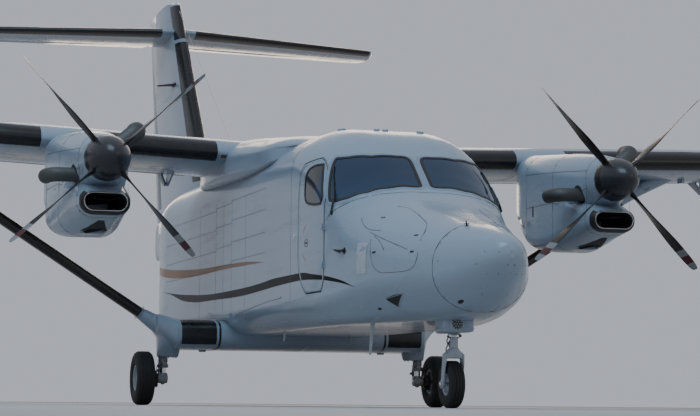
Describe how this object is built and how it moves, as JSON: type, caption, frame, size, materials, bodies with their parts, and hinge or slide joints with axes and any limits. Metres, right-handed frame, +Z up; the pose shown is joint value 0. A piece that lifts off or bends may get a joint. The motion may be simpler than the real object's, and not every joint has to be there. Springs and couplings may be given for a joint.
{
  "type": "twin turboprop utility airliner",
  "caption": "Strut-braced high-wing twin turboprop airliner with cruciform tail, fixed tricycle gear, opening doors, turning propellers and control surfaces.",
  "frame": {"origin": "on the ground under the middle of the overall length and span", "axes": "+X to port, across the span; +Y aft, so the nose points along -Y; +Z up"},
  "size_m": [22.02, 16.79, 6.4],
  "materials": {
    "white_paint": "gloss",
    "wing_paint": "gloss",
    "radome_paint": "gloss",
    "tinted_glass": "gloss",
    "cockpit_trim": "matte",
    "exhaust_steel": "satin",
    "propeller_black": "satin",
    "spinner_grey": "satin",
    "gear_paint": "gloss",
    "tyre": "matte",
    "hub_metal": "satin"
  },
  "bodies": {
    "airframe": {"radome": "radome_paint", "nose_bay": "white_paint", "cockpit_shell": "white_paint", "windscreen_left": "tinted_glass", "windscreen_right": "tinted_glass", "cockpit_fittings": "cockpit_trim", "cabin_belly": "white_paint", "cabin_side_left": "white_paint", "cabin_side_right": "white_paint", "cabin_roof": "white_paint", "wing_fairing": "radome_paint", "tail_cone": "white_paint", "fin": "wing_paint", "stabilizer": "wing_paint", "wing_left": "wing_paint", "wing_right": "wing_paint", "strut_left": "white_paint", "strut_right": "white_paint", "gear_beam": "white_paint", "main_leg_left": "gear_paint", "main_leg_right": "gear_paint", "nose_gear_housing": "white_paint", "nacelle_left": "white_paint", "nacelle_right": "white_paint", "engine_left": "exhaust_steel", "engine_right": "exhaust_steel"},
    "crew_door_left": {"crew_door_left": "white_paint", "crew_window_left": "tinted_glass"},
    "crew_door_right": {"crew_door_right": "white_paint", "crew_window_right": "tinted_glass"},
    "cargo_door": {"cargo_door": "white_paint"},
    "rudder": {"rudder": "wing_paint"},
    "elevator_left": {"elevator_left": "wing_paint"},
    "elevator_right": {"elevator_right": "wing_paint"},
    "aileron_left": {"aileron_left": "wing_paint"},
    "aileron_right": {"aileron_right": "wing_paint"},
    "flap_left": {"flap_left": "wing_paint"},
    "flap_right": {"flap_right": "wing_paint"},
    "propeller_left": {"propeller_left": "propeller_black", "spinner_left": "spinner_grey"},
    "propeller_right": {"propeller_right": "propeller_black", "spinner_right": "spinner_grey"},
    "main_wheel_left": {"main_tyre_left": "tyre", "main_hub_left": "hub_metal"},
    "main_wheel_right": {"main_tyre_right": "tyre", "main_hub_right": "hub_metal"},
    "nose_leg": {"nose_leg": "gear_paint"},
    "nose_wheel": {"nose_tyre": "tyre", "nose_hub": "hub_metal"}
  },
  "joints": [
    {"name": "propeller_left_spin", "type": "hinge", "parent": "airframe", "child": "propeller_left", "pos_m": [2.95, -4.165, 2.63], "axis": [0, -1, 0], "continuous": true},
    {"name": "propeller_right_spin", "type": "hinge", "parent": "airframe", "child": "propeller_right", "pos_m": [-2.95, -4.165, 2.63], "axis": [0, -1, 0], "continuous": true},
    {"name": "main_wheel_left_spin", "type": "hinge", "parent": "airframe", "child": "main_wheel_left", "pos_m": [1.89, -0.875, 0.326], "axis": [1, 0, 0], "continuous": true},
    {"name": "main_wheel_right_spin", "type": "hinge", "parent": "airframe", "child": "main_wheel_right", "pos_m": [-1.89, -0.875, 0.326], "axis": [1, 0, 0], "continuous": true},
    {"name": "nose_steering", "type": "hinge", "parent": "airframe", "child": "nose_leg", "pos_m": [0, -6.825, 0.7], "axis": [0, 0, 1], "range_deg": [-55, 55]},
    {"name": "nose_wheel_spin", "type": "hinge", "parent": "nose_leg", "child": "nose_wheel", "pos_m": [0, -6.765, 0.232], "axis": [1, 0, 0], "continuous": true},
    {"name": "crew_door_left_swing", "type": "hinge", "parent": "airframe", "child": "crew_door_left", "pos_m": [0.975, -5.542, 1.85], "axis": [0, 0, -1], "range_deg": [0, 95]},
    {"name": "crew_door_right_swing", "type": "hinge", "parent": "airframe", "child": "crew_door_right", "pos_m": [-0.975, -5.542, 1.85], "axis": [0, 0, 1], "range_deg": [0, 95]},
    {"name": "cargo_door_lift", "type": "hinge", "parent": "airframe", "child": "cargo_door", "pos_m": [0.885, 1.33, 2.812], "axis": [0, -1, 0], "range_deg": [0, 95]},
    {"name": "rudder_turn", "type": "hinge", "parent": "airframe", "child": "rudder", "pos_m": [0, 6.855, 2.9], "axis": [0, 0.2175, 0.9761], "range_deg": [-25, 25]},
    {"name": "elevator_left_turn", "type": "hinge", "parent": "airframe", "child": "elevator_left", "pos_m": [0, 7.155, 5.88], "axis": [0.9889, 0.1489, 0], "range_deg": [-15, 20]},
    {"name": "elevator_right_turn", "type": "hinge", "parent": "airframe", "child": "elevator_right", "pos_m": [0, 7.155, 5.88], "axis": [0.9889, -0.1489, 0], "range_deg": [-15, 20]},
    {"name": "aileron_left_turn", "type": "hinge", "parent": "airframe", "child": "aileron_left", "pos_m": [6.3, -0.065, 3.19139], "axis": [0.9994, 0, 0.0334], "range_deg": [-20, 20]},
    {"name": "aileron_right_turn", "type": "hinge", "parent": "airframe", "child": "aileron_right", "pos_m": [-6.3, -0.065, 3.19139], "axis": [0.9994, 0, -0.0334], "range_deg": [-20, 20]},
    {"name": "flap_left_drop", "type": "hinge", "parent": "airframe", "child": "flap_left", "pos_m": [0, -0.265, 2.717], "axis": [-0.9993, 0, -0.037], "range_deg": [0, 35]},
    {"name": "flap_right_drop", "type": "hinge", "parent": "airframe", "child": "flap_right", "pos_m": [0, -0.265, 2.717], "axis": [-0.9993, 0, 0.037], "range_deg": [0, 35]}
  ],
  "couplings": [
    {"joint": "elevator_right_turn", "follows": "elevator_left_turn", "ratio": 1},
    {"joint": "aileron_right_turn", "follows": "aileron_left_turn", "ratio": -1},
    {"joint": "flap_right_drop", "follows": "flap_left_drop", "ratio": 1}
  ]
}
